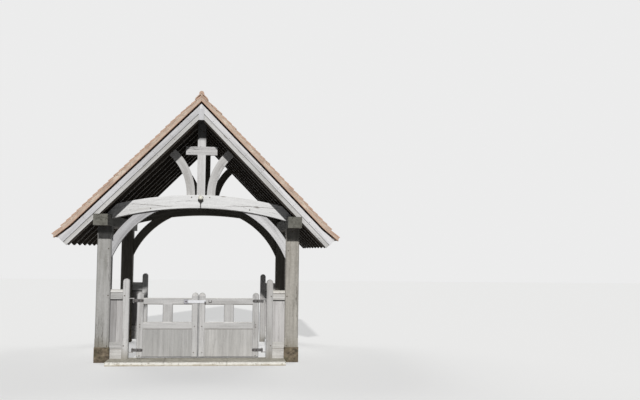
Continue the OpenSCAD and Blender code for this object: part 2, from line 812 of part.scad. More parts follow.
padstones();
main_post(-1, -1);  // post_front_left
main_post(1, -1);  // post_front_right
main_post(-1, 1);  // post_rear_left
main_post(1, 1);  // post_rear_right
wall_plate(-1);  // wall_plate_left
wall_plate(1);  // wall_plate_right
tie_beam(-1);  // tie_beam_front
tie_beam(1);  // tie_beam_rear
arch_braces(-1);  // arch_braces_front
arch_braces(1);  // arch_braces_rear
king_post(-1);  // king_post_front
king_post(1);  // king_post_rear
cross_arm();
king_struts(-1);  // king_struts_front
king_struts(1);  // king_struts_rear
principal_rafters();
common_rafters();
ridge_board();
roof_boards(-1);  // roof_boards_left
roof_boards(1);  // roof_boards_right
battens();
bargeboard(-1, -1);  // bargeboard_front_left
bargeboard(1, -1);  // bargeboard_front_right
bargeboard(-1, 1);  // bargeboard_rear_left
bargeboard(1, 1);  // bargeboard_rear_right
barge_covers();
barge_keys();
tiles(-1);  // tiles_left
tiles(1);  // tiles_right
ridge_tiles();
screen_posts();
screen_rails();
screen_boards();
threshold();
step_nosing();
gate_frame(-1);  // gate_frame_left
gate_frame(1);  // gate_frame_right
gate_boards(-1);  // gate_boards_left
gate_boards(1);  // gate_boards_right
gate_irons(-1);  // gate_irons_left
gate_irons(1);  // gate_irons_right
hinge_hooks();
latch_bar();
lamp();
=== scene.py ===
"""Timber lychgate: surfaces and finishes round the fixed frame, in metres."""
import math

import bpy
import numpy as np
from mathutils import Matrix, Vector


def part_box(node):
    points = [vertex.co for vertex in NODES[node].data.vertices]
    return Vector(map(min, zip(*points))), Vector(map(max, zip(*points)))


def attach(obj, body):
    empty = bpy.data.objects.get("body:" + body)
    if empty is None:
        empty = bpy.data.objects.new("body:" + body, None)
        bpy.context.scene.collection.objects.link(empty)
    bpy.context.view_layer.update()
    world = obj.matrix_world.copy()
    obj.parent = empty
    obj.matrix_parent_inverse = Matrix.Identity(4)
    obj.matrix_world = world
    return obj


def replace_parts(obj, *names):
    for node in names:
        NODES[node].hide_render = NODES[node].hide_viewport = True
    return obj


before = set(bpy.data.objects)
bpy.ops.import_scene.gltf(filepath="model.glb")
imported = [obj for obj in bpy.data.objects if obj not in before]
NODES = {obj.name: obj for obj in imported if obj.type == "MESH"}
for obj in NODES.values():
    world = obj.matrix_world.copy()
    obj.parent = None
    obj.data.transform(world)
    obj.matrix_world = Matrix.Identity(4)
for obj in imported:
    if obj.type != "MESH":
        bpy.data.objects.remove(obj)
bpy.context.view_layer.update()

# Roof, taken over from the frame; heights of the tiling are square to the slope
PITCH = math.radians(45.4)
FLARE = math.radians(39.0)
SLOPE = np.array([math.cos(PITCH), math.sin(PITCH)])
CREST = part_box("bargeboard_front_left")[1].z
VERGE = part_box("tiles_right")[1].y
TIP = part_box("tiles_right")[1].x
FLARE_X = 1.766
GAUGE = 0.1
TILE_LENGTH, TILE_THICK, TILES_ACROSS = 0.165, 0.012, 22
TILE_HEAD, TILE_STEP, BED_LOW = 0.088, 0.014, 0.025
TILE_SWELL, THIN_COURSES = 0.02, 3
LAST_TAIL = (TIP - (TILE_STEP + TILE_SWELL) * SLOPE[1]) / SLOPE[0]

# Trusses, posts and gates, taken over from the frame
TIE_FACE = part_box("tie_beam_front")[0].y
TRUSS = (TIE_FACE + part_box("tie_beam_front")[1].y) / 2
TIE_LOW, TIE_RADIUS = 2.256, 4.8
ARCH_Z, ARCH_RADIUS = 0.975, 1.45
STRUT_X, STRUT_Z, STRUT_RADIUS = 1.006, 2.448, 0.857
LEAF_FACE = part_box("gate_frame_left")[0].y
POST_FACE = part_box("post_front_left")[0].y
LATCH_X, LATCH_Z, LATCH_FACE = -0.182, 0.878, -1.3187

SIDES = ((-1, "left"), (1, "right"))
ENDS = ((-1, "front"), (1, "rear"))
# Outward from the front faces, and a limit that lies past every piece
OUTWARD = (0, -1, 0)
FAR = 9.0


def put(name, data):
    """An object for the data, linked into the scene."""
    made = bpy.data.objects.new(name, data)
    bpy.context.scene.collection.objects.link(made)
    return made


# ------ shader nodes
class Shading:
    """Shader nodes of a material or a world; every call adds nodes and gives back an output."""

    def __init__(self, made):
        made.use_nodes = True
        self.made, self.tree = made, made.node_tree
        self.tree.nodes.clear()

    def node(self, kind, feeds=None, **settings):
        made = self.tree.nodes.new("ShaderNode" + kind)
        for key, value in settings.items():
            setattr(made, key, value)
        for slot, value in (feeds or {}).items():
            self.feed(made.inputs[slot], value)
        return made

    def feed(self, socket, value):
        if isinstance(value, bpy.types.NodeSocket):
            self.tree.links.new(value, socket)
        elif socket.type == "RGBA" and len(value) == 3:
            socket.default_value = (*value, 1)
        else:
            socket.default_value = value

    def calc(self, rule, a, b=0.0, c=0.0):
        return self.node("Math", {0: a, 1: b, 2: c}, operation=rule).outputs[0]

    def seen(self):
        """1 for the rays of the camera, of mirrors and of glass, 0 for all others."""
        path = self.node("LightPath").outputs
        gloss = self.calc("MAXIMUM", path["Is Glossy Ray"], path["Is Transmission Ray"])
        return self.calc("MAXIMUM", path["Is Camera Ray"], gloss)


class Finish(Shading):
    """A surface put together from shader nodes round one principled shader."""

    def __init__(self, name):
        super().__init__(bpy.data.materials.new(name))
        self.skin = self.node("BsdfPrincipled")
        self.out = self.node("OutputMaterial", {0: self.skin.outputs[0]})
        self.spot = self.node("TexCoord").outputs["Object"]
        self.colour = None

    def times(self, a, b):
        return self.calc("MULTIPLY", a, b)

    def plus(self, a, b):
        return self.calc("ADD", a, b)

    def minus(self, a, b):
        return self.calc("SUBTRACT", a, b)

    def parts(self, vector):
        return self.node("SeparateXYZ", {0: vector}).outputs

    def join(self, x, y, z):
        return self.node("CombineXYZ", {0: x, 1: y, 2: z}).outputs[0]

    def scaled(self, vector, scale, shift=(0, 0, 0)):
        return self.node("Mapping", {"Vector": vector, "Location": shift, "Scale": scale}).outputs[0]

    def noise(self, scale, detail, rough=0.55, vector=None, shift=(0, 0, 0)):
        """Noise at one scale, or at three of them, one along each axis."""
        vector = self.spot if vector is None else vector
        if isinstance(scale, tuple):
            vector, scale = self.scaled(vector, scale, shift), 1.0
        feeds = {"Vector": vector, "Scale": scale, "Detail": detail, "Roughness": rough}
        return self.node("TexNoise", feeds).outputs["Fac"]

    def cells(self, scale, vector=None, feature="F1"):
        vector = self.spot if vector is None else vector
        return self.node("TexVoronoi", {"Vector": vector, "Scale": scale}, feature=feature).outputs["Distance"]

    def span(self, value, low, high, start=0.0, end=1.0):
        return self.node("MapRange", {0: value, 1: low, 2: high, 3: start, 4: end}).outputs[0]

    def mix(self, share, a, b, how="MIX"):
        return self.node("Mix", {0: share, 6: a, 7: b}, data_type="RGBA", blend_type=how).outputs[2]

    def over(self, share, colour, amount=None, how="MIX"):
        """Lays a colour over what the surface shows so far, by a share or by an amount of it."""
        if amount is not None:
            share = self.times(share, amount)
        self.colour = self.mix(share, self.colour, colour, how)

    def stain(self, value, low, high, amount, colour):
        """Lays a colour over the surface: nothing where the value is low, up to an amount where it is high."""
        self.over(self.span(value, low, high, 0.0, amount), colour)

    def ramp(self, value, stops):
        made = self.node("ValToRGB", {0: value})
        keys = made.color_ramp.elements
        for key, (place, colour) in zip([keys[0], keys[1]], [stops[0], stops[-1]]):
            key.position, key.color = place, (*colour, 1)
        for place, colour in stops[1:-1]:
            keys.new(place).color = (*colour, 1)
        return made.outputs[0]

    def within(self, x, z, x0, x1, z0, z1):
        """1 where x and z lie between the limits, 0 elsewhere."""
        across = self.times(self.calc("GREATER_THAN", x, x0), self.calc("LESS_THAN", x, x1))
        return self.times(across, self.times(self.calc("GREATER_THAN", z, z0), self.calc("LESS_THAN", z, z1)))

    def soft_edge(self, radius):
        return self.node("Bevel", {"Radius": radius}, samples=4).outputs[0]

    def worn(self, soft):
        """How far the rounded normal turns from the true one, 0 on flats and 1 on arrises."""
        true = self.node("NewGeometry").outputs["True Normal"]
        turn = self.node("VectorMath", {0: soft, 1: true}, operation="DOT_PRODUCT").outputs["Value"]
        return self.span(turn, 0.995, 0.86)

    def dress(self, name, value):
        """Feeds one input of the principled shader."""
        self.feed(self.skin.inputs[name], value)

    def close(self, rough, height, depth, soft=None, strength=1.0):
        """Feeds the colour so far, the roughness and the relief, and gives back the finished material."""
        self.dress("Base Color", self.colour)
        self.dress("Roughness", rough)
        feeds = {"Height": height, "Distance": depth, "Strength": strength}
        if soft is not None:
            feeds["Normal"] = soft
        self.dress("Normal", self.node("Bump", feeds).outputs[0])
        return self.made


# ------ camera, light, floor
def set_camera():
    """Camera fitted to the corners of the posts, plates and gable."""
    yaw, tilt, roll = (math.radians(a) for a in (6.399, 3.664, 0.678))
    level = Vector((math.sin(yaw), math.cos(yaw), 0))
    side = Vector((math.cos(yaw), -math.sin(yaw), 0))
    rise = Vector((0, 0, 1))
    ahead = level * math.cos(tilt) + rise * math.sin(tilt)
    top = rise * math.cos(tilt) - level * math.sin(tilt)
    right = side * math.cos(roll) + top * math.sin(roll)
    above = top * math.cos(roll) - side * math.sin(roll)
    lens = bpy.data.cameras.new("view_from_road")
    lens.lens, lens.sensor_width, lens.sensor_fit = 44.47, 36.0, "HORIZONTAL"
    lens.clip_end = 200
    made = put("view_from_road", lens)
    turn = Matrix((right, above, -ahead)).transposed().to_4x4()
    made.matrix_world = Matrix.Translation((0.4527, -13.154, 1.6485)) @ turn
    bpy.context.scene.camera = made
    bpy.context.scene.view_settings.view_transform = "Standard"


def set_light():
    """One low lamp from the road side, two broad weak ones from behind, and an even sky."""
    # name, power, then spread, height over the ground and turn about it in degrees
    lamps = (("day_lamp", 2.98, 1.6, 24.5, 2.0),
             ("back_lamp_left", 1.05, 30.0, 38.0, 140.0),
             ("back_lamp_right", 1.05, 30.0, 38.0, 220.0))
    for name, power, *angles in lamps:
        spread, high, turn = (math.radians(angle) for angle in angles)
        lamp = bpy.data.lights.new(name, "SUN")
        lamp.energy, lamp.angle = power, spread
        lamp.color = (1.0, 0.99, 0.975)
        towards = Vector((-math.sin(turn) * math.cos(high), -math.cos(turn) * math.cos(high), math.sin(high)))
        put(name, lamp).rotation_euler = towards.to_track_quat("Z", "Y").to_euler()
    world = Shading(bpy.data.worlds.new("even_sky"))
    bpy.context.scene.world = world.made
    sky = world.node("Background", {"Color": (0.86, 0.93, 1.0), "Strength": 0.105}).outputs[0]
    wall = world.node("Background", {"Color": (1, 1, 1), "Strength": 0.84}).outputs[0]
    blend = world.node("MixShader", {0: world.seen(), 1: sky, 2: wall}).outputs[0]
    world.node("OutputWorld", {0: blend})


def lay_floor():
    """Plain pale floor: camera and mirror rays see it paler than the light that it throws back,
    and the shadow stays on it."""
    half = 30
    corners = [(-half, -half, 0), (half, -half, 0), (half, half, 0), (-half, half, 0)]
    mesh = bpy.data.meshes.new("floor")
    mesh.from_pydata(corners, [], [(0, 1, 2, 3)])
    f = Finish("pale_floor")
    f.dress("Base Color", (0.2, 0.2, 0.2, 1))
    f.dress("Roughness", 0.95)
    pale = f.node("BsdfDiffuse", {"Color": (0.5, 0.5, 0.496), "Roughness": 0.0}).outputs[0]
    glow = f.node("Emission", {"Color": (1, 1, 1), "Strength": 0.37}).outputs[0]
    both = f.node("AddShader", {0: pale, 1: glow}).outputs[0]
    shown = f.node("MixShader", {0: f.seen(), 1: f.skin.outputs[0], 2: both}).outputs[0]
    f.feed(f.out.inputs[0], shown)
    mesh.materials.append(f.made)
    put("floor", mesh)


# ------ finishes
def tint(red, green, blue):
    """A colour read off as 0 to 255 display values, given back as linear light."""
    return tuple(float(v) for v in (np.array([red, green, blue]) / 255) ** 2.2)


def shades(tones):
    """The colours of several display tones."""
    return [tint(*tone) for tone in tones]


def toned(colour, by):
    """The same colour darker or paler, with no part of it above white."""
    return tuple(min(1.0, v * by) for v in colour)


def grain_place(f, lay):
    """A vector whose third part runs along the grain: straight, down both slopes, or round an arc."""
    x, y, z = f.parts(f.spot)
    straight = {"x": (z, y, x), "y": (x, z, y), "z": (x, y, z)}
    if lay in straight:
        return f.join(*straight[lay])
    if lay == "slope":
        side = f.calc("ABSOLUTE", x)
        across = f.plus(f.times(side, SLOPE[1]), f.times(z, SLOPE[0]))
        down = f.minus(f.times(side, SLOPE[0]), f.times(z, SLOPE[1]))
        return f.join(f.calc("MULTIPLY_ADD", f.calc("SIGN", x), 0.37, across), y, down)
    centre_x, centre_z, radius = lay
    side = f.minus(f.calc("ABSOLUTE", x), centre_x)
    rise = f.minus(z, centre_z)
    reach = f.calc("SQRT", f.plus(f.calc("POWER", side, 2), f.calc("POWER", rise, 2)))
    sweep = f.times(f.calc("ARCTAN2", side, rise), radius)
    return f.join(f.calc("MULTIPLY_ADD", f.calc("SIGN", x), 0.53, reach), y, sweep)


def oak_finish(name, lay, tones, ground=0.0, checks=1.0, seed=0.0, swap=None, edge=0.006, shelter=0.45,
               boards=0.0, streaks=0.15, lichen=0.0, washed=(), dusk=None):
    """Weathered oak: fine ridges and broad bands along the grain, rain streaks, lichen specks, drying
    checks, knots, paler worn arrises, browner undersides and green-brown damp near the ground.

    tones are its pale, middle and deep display colours, lay the way of its grain, and boards the width of
    the boards that differ in shade. swap (lay, zones) turns the grain in zones (x0, x1, z0, z1) of both
    leaves. Each listed zone (x0, x1, z0, z1, strength) makes the colour paler or darker by its strength;
    some are the wood's own tone, others painted shade and painted highlight. The darkening (axis, start,
    end, strength) is painted shade: more and more from start to end along y (1) or z (2), where the timber
    lies in shade under the roof."""
    f = Finish(name)
    pale, mid, deep = shades(tones)
    x, y, z = f.parts(f.spot)
    place = grain_place(f, lay)
    if swap is not None:
        other, zones = swap
        side = f.calc("ABSOLUTE", x)
        share = f.within(side, z, *zones[0])
        for zone in zones[1:]:
            share = f.calc("MAXIMUM", share, f.within(side, z, *zone))
        place = f.node("Mix", {0: share, 4: place, 5: grain_place(f, other)}, data_type="VECTOR").outputs[1]
    place = f.scaled(place, (1, 1, 1), (seed, seed * 0.7, seed * 1.3))
    drift = f.join(f.times(f.noise((5, 5, 1.1), 3, vector=place), 0.022), 0.0, 0.0)
    warp = f.node("VectorMath", {0: place, 1: drift}, operation="ADD").outputs[0]
    bands = f.noise((26, 26, 1.3), 4, 0.6, warp)
    ridges = f.noise((190, 190, 5.0), 3, 0.65, warp)
    fibre = f.noise((620, 620, 22), 2, 0.6, warp)
    patches = f.noise((2.6, 2.6, 1.2), 4, 0.6, place)
    tone = f.plus(f.times(bands, 0.55), f.times(patches, 0.45))
    f.colour = f.ramp(tone, [(0.3, deep), (0.47, mid), (0.62, pale)])
    f.stain(ridges, 0.56, 0.7, 0.42, toned(deep, 0.45))
    f.stain(fibre, 0.3, 0.72, 0.2, toned(pale, 1.15))
    streak = f.noise((15, 15, 0.8), 4, 0.65, warp, (5, 2, 7))
    f.stain(streak, 0.5, 0.66, streaks * 2, toned(deep, 0.72))
    f.stain(streak, 0.46, 0.32, streaks * 1.4, toned(pale, 1.2))
    if lichen > 0:
        speck = f.noise(46, 4, 0.68)
        f.stain(speck, 0.53, 0.68, lichen, toned(deep, 0.8))
        f.stain(speck, 0.47, 0.35, lichen, toned(pale, 1.25))
    # knots: sparse cells, drawn out along the grain
    knot = f.span(f.cells(1.0, f.scaled(warp, (3.1, 3.1, 1.25))), 0.075, 0.035)
    f.over(knot, tint(84, 70, 58), 0.75)
    # drying checks: thin dark lines where a drawn-out noise crosses one value
    line = f.noise((13, 13, 0.75), 5, 0.62, warp)
    crack = f.span(f.calc("ABSOLUTE", f.minus(line, 0.5)), 0.0055, 0.001)
    here = f.span(f.noise((4.5, 4.5, 1.6), 2, 0.55, place, (3, 1, 2)), 0.5, 0.6)
    crack = f.times(f.times(crack, here), checks)
    f.over(crack, tint(52, 46, 42), 0.85)
    if boards > 0:
        row = f.calc("FLOOR", f.calc("DIVIDE", x, boards))
        feeds = {"Vector": f.join(row, 0.0, 3.0)}
        shade = f.node("TexWhiteNoise", feeds, noise_dimensions="3D").outputs["Value"]
        f.stain(shade, 0, 1, 0.4, toned(mid, 0.62))
    # undersides keep their brown, and damp creeps up from the ground
    up = f.parts(f.node("NewGeometry").outputs["Normal"])[2]
    f.stain(up, -0.25, -0.8, shelter, tint(112, 96, 80))
    f.stain(up, 0.5, 0.9, 0.35, tint(150, 150, 138))
    if ground > 0:
        height = f.calc("MULTIPLY_ADD", patches, 0.3, z)
        f.over(f.span(height, ground + 0.25, ground * 0.4 + 0.15, 0.0, 0.55), tint(112, 104, 84))
    soft = f.soft_edge(edge)
    wear = f.times(f.worn(soft), f.span(f.noise(16, 3), 0.3, 0.6, 0.25, 0.8))
    f.over(wear, toned(pale, 1.25))
    # zones of the wood's own tone, and zones of painted shade and painted highlight
    for *zone, strength in washed:
        f.over(f.within(x, z, *zone), (strength, strength * 0.995, strength * 0.985), how="MULTIPLY")
    # painted shade: the timber grows darker towards where it lies in shade under the roof
    if dusk is not None:
        axis, start, end, strength = dusk
        share = f.span(f.calc("ABSOLUTE", (x, y, z)[axis]), start, end)
        f.over(share, (strength, strength, strength), how="MULTIPLY")
    height = f.minus(f.plus(f.times(ridges, -0.5), f.times(fibre, 0.25)), f.times(crack, 1.6))
    height = f.minus(height, f.times(knot, 0.5))
    rough = f.span(ridges, 0.3, 0.8, 0.68, 0.9)
    f.dress("Specular IOR Level", 0.28)
    return f.close(rough, height, 0.0022, soft, 0.9)


def tile_finish(name, core=False):
    """Hand-made clay: a tone for each tile, sandy speckle, dark stains, lichen rings, gold lichen, moss and
    a smear of pale mortar along both verges. The core, for the solids under the tiles and the ridge tiles,
    is darker and has a noise for its tone."""
    f = Finish(name)
    tone = f.noise(5, 2) if core else f.node("Attribute", attribute_name="tone").outputs["Fac"]
    dim = 0.77 if core else 1.0
    fired = (126, 93, 77), (170, 126, 103), (191, 145, 119), (181, 139, 117), (148, 124, 111)
    f.colour = f.ramp(tone, [(k / 4, tint(*(v * dim for v in shade))) for k, shade in enumerate(fired)])
    grit = f.noise(420, 3, 0.7)
    f.stain(grit, 0.35, 0.75, 0.35, tint(218, 186, 166))
    f.stain(f.noise(3.2, 5, 0.65), 0.48, 0.72, 0.55, tint(104, 92, 80))
    # pale lichen rings of a few centimetres
    ring = f.cells(14)
    bent = f.plus(ring, f.times(f.noise(60, 4, 0.7), 0.35))
    lichen = f.times(f.span(bent, 0.46, 0.38), f.span(f.noise(2.1, 3), 0.46, 0.58))
    f.over(lichen, tint(206, 202, 180), 0.8)
    gold = f.times(f.span(f.cells(31), 0.2, 0.12), f.span(f.noise(3.7, 2), 0.52, 0.6))
    f.over(gold, tint(204, 160, 62), 0.8)
    moss = f.span(f.noise((9, 9, 22), 5, 0.7), 0.6, 0.72)
    f.over(moss, tint(92, 98, 62), 0.7)
    smear = f.calc("MULTIPLY_ADD", f.noise(24, 4, 0.65), 0.05, f.calc("ABSOLUTE", f.parts(f.spot)[1]))
    smear = f.span(smear, VERGE - 0.006, VERGE + 0.012)
    f.over(smear, tint(198, 170, 151), 0.8)
    growth = f.calc("MAXIMUM", lichen, moss)
    height = f.plus(f.times(grit, 0.35), f.times(growth, 0.6))
    f.dress("Specular IOR Level", 0.25)
    return f.close(f.span(grit, 0.2, 0.8, 0.78, 0.95), height, 0.0022)


def mortar_finish(name):
    """Sandy lime mortar, pinkish cream, with grit, pits and hairline cracks."""
    f = Finish(name)
    grit = f.noise(260, 4, 0.75)
    broad = f.noise(5, 5, 0.66)
    deep, mid, pale = shades(((176, 153, 138), (203, 183, 166), (226, 210, 193)))
    f.colour = f.ramp(broad, [(0.34, deep), (0.5, mid), (0.66, pale)])
    f.stain(grit, 0.3, 0.7, 0.25, tint(150, 130, 112))
    split = f.cells(9, feature="DISTANCE_TO_EDGE")
    split = f.times(f.span(split, 0.008, 0.002), f.span(broad, 0.48, 0.58))
    f.over(split, tint(104, 90, 78), 0.45)
    height = f.minus(grit, f.times(split, 1.2))
    return f.close(0.92, height, 0.004)


def stone_finish(name, tones, paint=None, algae=0.5, blotch=0.3):
    """Cut stone: tooled surface, bedding tones, pits, green algae; the nosing keeps worn white paint."""
    f = Finish(name)
    low, mid, high = shades(tones)
    broad = f.noise((3.4, 3.4, 8), 5, 0.62)
    grit = f.noise(150, 5, 0.72)
    fine = f.noise(700, 2, 0.6)
    f.colour = f.ramp(broad, [(0.3, low), (0.5, mid), (0.7, high)])
    mottle = f.noise((15, 15, 21), 5, 0.65)
    f.stain(mottle, 0.49, 0.6, blotch, toned(low, 0.45))
    f.stain(mottle, 0.46, 0.36, blotch, toned(high, 1.35))
    f.stain(grit, 0.4, 0.75, 0.45, low)
    pits = f.span(f.cells(62), 0.2, 0.08)
    f.over(pits, toned(low, 0.4), 0.6)
    green = f.span(f.noise(6.5, 5, 0.7), 0.5, 0.68)
    f.over(green, tint(96, 100, 66), algae)
    height = f.plus(f.times(grit, 0.5), f.times(fine, 0.15))
    height = f.minus(height, f.times(pits, 0.5))
    soft = f.soft_edge(0.008)
    wear = f.worn(soft)
    if paint is not None:
        kept = f.plus(f.noise(34, 5, 0.72), f.times(wear, -0.12))
        kept = f.span(kept, 0.38, 0.42)
        f.over(kept, paint)
        dirt = f.noise((9, 9, 26), 5, 0.7)
        splash = f.calc("MULTIPLY_ADD", dirt, -0.05, f.parts(f.spot)[2])
        f.stain(dirt, 0.5, 0.75, 0.4, tint(150, 138, 116))
        f.stain(splash, 0.002, -0.022, 0.75, tint(158, 142, 112))
        height = f.calc("MULTIPLY_ADD", kept, 0.35, height)
    else:
        f.over(wear, high, 0.5)
    return f.close(f.span(grit, 0.2, 0.8, 0.75, 0.95), height, 0.003, soft)


def iron_finish(name, tones, rust_share=0.5, metal=0.45, matt=0.5, dapple=1.7):
    """Forged fittings: hammered skin, weathered paint, rust blooms and rubbed edges.

    tones are the display colours of the skin, the rust and the rubbed edges."""
    f = Finish(name)
    base, rust, bright = shades(tones)
    hammer = f.noise(90, 3, 0.5)
    fine = f.noise(600, 3, 0.6)
    f.colour = f.mix(f.span(hammer, 0.35, 0.7), base, toned(base, dapple))
    soft = f.soft_edge(0.002)
    wear = f.worn(soft)
    f.over(wear, bright, 0.6)
    bloom = f.span(f.noise(38, 5, 0.7), 0.56 - 0.1 * rust_share, 0.66)
    bloom = f.times(bloom, f.span(fine, 0.2, 0.6, 0.6, 1.0))
    f.over(bloom, rust, rust_share)
    f.dress("Metallic", f.span(bloom, 0.0, 1.0, metal, 0.05))
    rough = f.span(bloom, 0.0, 1.0, matt, 0.9)
    height = f.plus(f.times(hammer, 0.8), f.times(bloom, 0.35))
    return f.close(rough, height, 0.0012, soft)


def lamp_finish(name):
    """Cream shell gone slightly yellow, with patchy dust and fine crazing."""
    f = Finish(name)
    dust = f.noise(120, 4, 0.6)
    f.colour = f.mix(f.span(dust, 0.45, 0.75, 0.0, 0.45), tint(230, 228, 216), tint(176, 172, 156))
    crazed = f.span(f.cells(160, feature="DISTANCE_TO_EDGE"), 0.02, 0.004)
    f.over(crazed, tint(150, 136, 108), 0.25)
    f.dress("Coat Weight", 0.3)
    f.dress("Coat Roughness", 0.25)
    return f.close(f.span(dust, 0.2, 0.8, 0.32, 0.55), dust, 0.0006)


def dark_finish(name, colour):
    """Deep shade of a split or a joint: near black wood with a little fibre."""
    f = Finish(name)
    fibre = f.noise((40, 400, 400), 3)
    f.colour = f.mix(fibre, colour, toned(colour, 2.2))
    return f.close(0.95, fibre, 0.001)


# ------ mesh makers
def piece(name, points, faces, finish, slot, body="lychgate", smooth=False, tone=None):
    """Puts points and faces into a mesh with its faces turned outward by the sign of its volume."""
    points = points.reshape(-1, 3)
    faces = faces if isinstance(faces, list) else [faces]
    total = 0.0
    for group in faces:
        a = points[group[:, 0]]
        for k in range(1, group.shape[1] - 1):
            total += float(np.einsum("ij,ij->", a, np.cross(points[group[:, k]], points[group[:, k + 1]])))
    if total < 0:
        faces = [group[:, ::-1] for group in faces]
    mesh = bpy.data.meshes.new(name)
    mesh.from_pydata(points.tolist(), [], [row for group in faces for row in group.tolist()])
    mesh.update()
    if smooth:
        mesh.polygons.foreach_set("use_smooth", np.ones(len(mesh.polygons), bool))
    if tone is not None:
        mesh.attributes.new("tone", "FLOAT", "POINT").data.foreach_set("value", tone.astype(np.float32))
    mesh.materials.append(finish)
    made = put(name, mesh)
    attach(made, body)
    return made


def slab_faces(rows, cols):
    """Quads of a closed slab: an upper and a lower grid of rows by cols points, joined round the rim."""
    grid = np.arange(rows * cols).reshape(rows, cols)
    top = np.stack([grid[:-1, :-1], grid[1:, :-1], grid[1:, 1:], grid[:-1, 1:]], -1).reshape(-1, 4)
    rim = np.concatenate([grid[0, :], grid[1:, -1], grid[-1, -2::-1], grid[-2:0:-1, 0]])
    after = np.roll(rim, -1)
    sides = np.stack([rim, after, after + rows * cols, rim + rows * cols], -1)
    return np.concatenate([top, top[:, ::-1] + rows * cols, sides])


def repeated(faces, count, step):
    """The same faces for count copies whose points follow one another in blocks of step."""
    return (faces + np.arange(count)[:, None, None] * step).reshape(-1, faces.shape[1])


def slope_points(down, rise, along, side):
    """From distance down the slope, height square to it and depth along the ridge to a place in the frame."""
    down, rise, along = np.broadcast_arrays(down, rise, along)
    x = down * SLOPE[0] + rise * SLOPE[1]
    z = CREST - down * SLOPE[1] + rise * SLOPE[0]
    return np.stack([side * x, along, z], -1)


def unit(lines):
    """Each direction made one long."""
    return lines / np.linalg.norm(lines, axis=1, keepdims=True)


def ring(u, v, sides, turn=0.0):
    """The directions cos a * u + sin a * v all round, for each pair of u and v."""
    angle = np.arange(sides) / sides * 2 * np.pi + turn
    return np.cos(angle)[:, None] * u[:, None] + np.sin(angle)[:, None] * v[:, None]


def ring_faces(rows, sides):
    """The wall between rows of rings and the two lids that close it."""
    grid = np.arange(rows * sides).reshape(rows, sides)
    after = np.roll(grid, -1, axis=1)
    wall = np.stack([grid[:-1], after[:-1], after[1:], grid[1:]], -1).reshape(-1, 4)
    return wall, np.stack([grid[0, ::-1], grid[-1]])


def turned(places, outward, profile, sides, turn=0.0):
    """A profile of (radius, height) pairs carried round the outward line at each place.

    Point = place + height * outward + radius * (cos a * u + sin a * v), u and v square to outward."""
    places = np.asarray(places, float).reshape(-1, 3)
    outward = unit(np.broadcast_to(np.asarray(outward, float), places.shape))
    aside = np.where(np.abs(outward[:, 2:3]) > 0.9, [[1.0, 0, 0]], [[0, 0, 1.0]])
    u = unit(np.cross(aside, outward))
    profile = np.asarray(profile, float)
    rows = len(profile)
    points = (places[:, None, None] + profile[:, None, 1:] * outward[:, None, None]
              + profile[:, None, :1] * ring(u, np.cross(outward, u), sides, turn)[:, None])
    faces = [repeated(group, len(places), rows * sides) for group in ring_faces(rows, sides)]
    return points.reshape(-1, 3), faces


def tube(path, radius, sides):
    """A round section carried along a path: each point's ring lies square to the path's direction there."""
    path = np.asarray(path, float)
    ahead = unit(np.gradient(path, axis=0))
    u = unit(np.cross(ahead, [[1.0, 0.02, 0.0]]))
    points = path[:, None] + radius * ring(u, np.cross(ahead, u), sides)
    return points.reshape(-1, 3), list(ring_faces(len(path), sides))


def rounded_path(corners, radius, steps=8):
    """Straight runs between the corners with each inner corner eased by a quadratic curve."""
    corners = [np.asarray(c, float) for c in corners]
    line = [corners[0][None]]
    for before, here, later in zip(corners[:-2], corners[1:-1], corners[2:]):
        start = here + (before - here) / np.linalg.norm(before - here) * radius
        end = here + (later - here) / np.linalg.norm(later - here) * radius
        t = np.linspace(0, 1, steps)[:, None]
        line.append((1 - t) ** 2 * start + 2 * t * (1 - t) * here + t ** 2 * end)
    line.append(corners[-1][None])
    return np.concatenate(line)


# ------ roof
def tile_lift(down):
    """Extra height of the tiling square to the slope: it grows evenly over the first courses."""
    return np.clip(down / (THIN_COURSES * GAUGE), 0, 1) * (TILE_SWELL - 0.004)


def course_tails(last):
    """Distance down the slope of the tail of each course, the last one at the eaves."""
    tails = (np.arange(math.floor(LAST_TAIL / GAUGE)) + 1) * GAUGE
    tails[-1] = last
    return tails


def tile_places(rng):
    """Edges along the ridge, tail distance, lift and tone of every plain tile, laid to a half bond.

    Odd courses start and end with a tile and a half, so that the verges stay straight."""
    wide = 2 * VERGE / TILES_ACROSS
    plain = np.linspace(-VERGE, VERGE, TILES_ACROSS + 1)
    bonded = np.concatenate([[-VERGE], -VERGE + wide * (1.5 + np.arange(TILES_ACROSS - 2)), [VERGE]])
    tails = course_tails(LAST_TAIL)
    heights = tile_lift(tails - GAUGE)
    tails = tails - TILE_HEAD * math.tan(PITCH)
    rows = [(tail, plain if k % 2 else bonded, heights[k]) for k, tail in enumerate(tails)]
    rows.append((tails[-1] - 0.004, bonded if len(tails) % 2 == 0 else plain, heights[-1] - 0.0135))
    left = np.concatenate([edges[:-1] for _, edges, _ in rows])
    right = np.concatenate([edges[1:] for _, edges, _ in rows])
    tail = np.concatenate([np.full(len(edges) - 1, at) for at, edges, _ in rows])
    lift = np.concatenate([np.full(len(edges) - 1, low) for _, edges, low in rows])
    count = len(left)
    gap, ragged = (0.0008, 0.0022, count), (0.0005, 0.006, count)
    left = left + rng.uniform(*gap)
    right = right - rng.uniform(*gap)
    left = np.maximum(left, -VERGE + rng.uniform(*ragged))
    right = np.minimum(right, VERGE - rng.uniform(*ragged))
    tail = tail - rng.uniform(0.0, 0.005, count)
    lift = lift - rng.uniform(0.0, 0.0018, count)
    tilt = rng.uniform(-0.0012, 0.0012, count)
    tone = np.clip(rng.normal(0.5, 0.24, count), 0, 1)
    return left, right, tail, lift, tilt, tone


